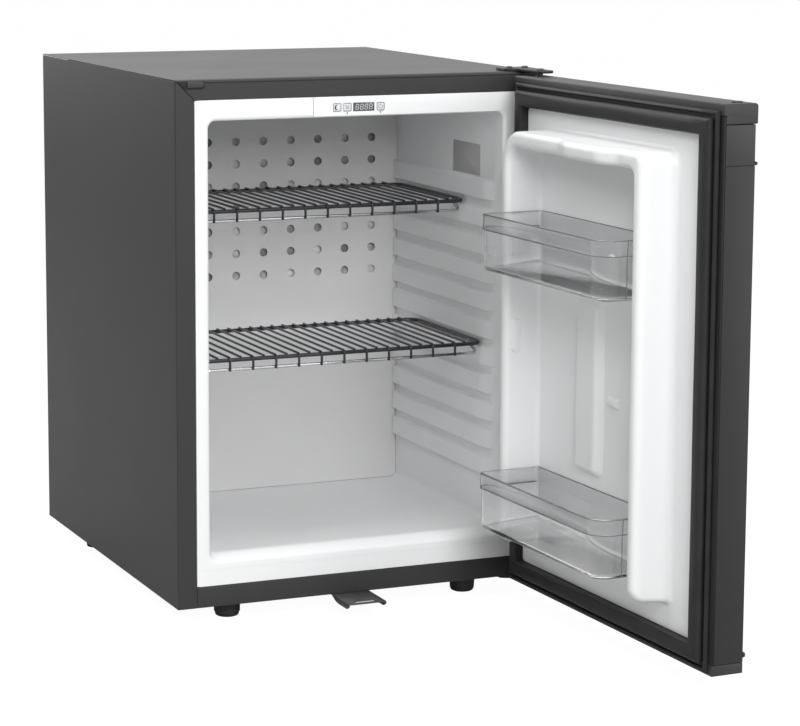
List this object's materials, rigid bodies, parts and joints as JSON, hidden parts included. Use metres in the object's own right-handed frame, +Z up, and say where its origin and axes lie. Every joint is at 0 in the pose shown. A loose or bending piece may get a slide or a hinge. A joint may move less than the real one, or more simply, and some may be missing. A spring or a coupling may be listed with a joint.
{
  "type": "minibar fridge",
  "caption": "Compact free-standing minibar fridge, door open: runner liner, wire shelves, perforated back, door bins, control fascia and an absorption cooling unit behind.",
  "frame": {"origin": "bottom centre of the whole fridge's bounding box with the door open, on the floor under the feet", "axes": "+Z up; +Y from the front of the cabinet to its back; +X to the right seen from the front, towards the hinge side"},
  "size_m": [0.415, 0.8794, 0.5649],
  "materials": {
    "dark_paint": "satin",
    "black_paint": "satin",
    "zinc_sheet": "satin",
    "steel": "polished",
    "aluminium": "satin",
    "shelf_wire": "gloss",
    "white_plastic": "satin",
    "grey_plastic": "satin",
    "dark_plastic": "matte",
    "clear_plastic": "polished",
    "display": "gloss",
    "circuit_board": "satin",
    "rubber": "matte",
    "foam": "matte"
  },
  "bodies": {
    "cabinet": {"side_panel_left": "dark_paint", "side_panel_right": "dark_paint", "top_panel": "dark_paint", "sill_rail": "dark_paint", "rear_panel": "zinc_sheet", "base_panel": "zinc_sheet", "inner_liner": "white_plastic", "insulation_foam": "foam", "perforated_back": "grey_plastic", "evaporator": "aluminium", "temperature_sensor": "dark_plastic", "control_fascia": "white_plastic", "control_board": "circuit_board", "display_window": "display", "corner_cap": "dark_plastic", "hinge_plate_top": "black_paint", "hinge_plate_bottom": "black_paint", "hinge_pin_top": "steel", "hinge_pin_bottom": "steel", "hinge_screw_top_left": "steel", "hinge_screw_top_right": "steel", "hinge_screw_bottom_left": "steel", "hinge_screw_bottom_right": "steel", "lock_strike": "zinc_sheet", "rear_foot_left": "rubber", "rear_foot_right": "rubber", "unit_brackets": "black_paint", "boiler_case": "zinc_sheet", "absorber_vessel": "black_paint", "absorber_coil": "black_paint", "evaporator_tube": "black_paint", "condenser": "zinc_sheet", "electrics_box": "dark_plastic", "power_inlet": "dark_plastic"},
    "door": {"door_outer_panel": "dark_paint", "door_foam": "foam", "door_frame": "dark_plastic", "door_top_cap": "dark_plastic", "door_bottom_cap": "dark_plastic", "edge_insert": "dark_plastic", "trim_strip_top": "dark_plastic", "trim_strip_bottom": "dark_plastic", "hinge_bush_top": "grey_plastic", "hinge_bush_bottom": "grey_plastic", "hinge_hole_plug": "rubber", "door_liner": "white_plastic", "door_gasket": "rubber", "lock_housing": "zinc_sheet"},
    "upper_shelf": {"upper_shelf": "shelf_wire"},
    "lower_shelf": {"lower_shelf": "shelf_wire"},
    "upper_bin": {"upper_bin": "clear_plastic"},
    "lower_bin": {"lower_bin": "clear_plastic"},
    "eco_button": {"button_eco": "grey_plastic"},
    "temperature_button": {"button_temperature": "grey_plastic"},
    "power_button": {"button_power": "grey_plastic"},
    "lock_cylinder": {"lock_cylinder": "steel"},
    "lock_bolt": {"lock_bolt": "steel"},
    "front_foot_left": {"front_foot_left": "rubber"},
    "front_foot_right": {"front_foot_right": "rubber"}
  },
  "joints": [
    {"name": "door_hinge", "type": "hinge", "parent": "cabinet", "child": "door", "pos_m": [0.18051, -0.05125, 0.28], "axis": [0, 0, 1], "range_deg": [-91.8, 28.2]},
    {"name": "upper_shelf_slide", "type": "slide", "parent": "cabinet", "child": "upper_shelf", "axis": [0, -1, 0], "range_m": [0, 0.12]},
    {"name": "lower_shelf_slide", "type": "slide", "parent": "cabinet", "child": "lower_shelf", "axis": [0, -1, 0], "range_m": [0, 0.07]},
    {"name": "upper_bin_lift", "type": "slide", "parent": "door", "child": "upper_bin", "axis": [0, 0, 1], "range_m": [0, 0.02]},
    {"name": "lower_bin_lift", "type": "slide", "parent": "door", "child": "lower_bin", "axis": [0, 0, 1], "range_m": [0, 0.01]},
    {"name": "eco_button_press", "type": "slide", "parent": "cabinet", "child": "eco_button", "axis": [0, 1, 0], "range_m": [0, 0.0008], "stiffness_N_per_m": 400},
    {"name": "temperature_button_press", "type": "slide", "parent": "cabinet", "child": "temperature_button", "axis": [0, 1, 0], "range_m": [0, 0.0008], "stiffness_N_per_m": 400},
    {"name": "power_button_press", "type": "slide", "parent": "cabinet", "child": "power_button", "axis": [0, 1, 0], "range_m": [0, 0.0008], "stiffness_N_per_m": 400},
    {"name": "lock_cylinder_turn", "type": "hinge", "parent": "door", "child": "lock_cylinder", "pos_m": [0.19869, -0.24778, 0.06], "axis": [0.9995, 0.0314, 0], "range_deg": [0, 90]},
    {"name": "lock_bolt_throw", "type": "slide", "parent": "door", "child": "lock_bolt", "axis": [0, 0, -1], "range_m": [0, 0.006]},
    {"name": "front_foot_left_height", "type": "slide", "parent": "cabinet", "child": "front_foot_left", "axis": [0, 0, -1], "range_m": [0, 0.008]},
    {"name": "front_foot_right_height", "type": "slide", "parent": "cabinet", "child": "front_foot_right", "axis": [0, 0, -1], "range_m": [0, 0.008]}
  ],
  "couplings": [
    {"joint": "lock_cylinder_turn", "follows": "lock_bolt_throw", "rad_per_m": 261}
  ]
}
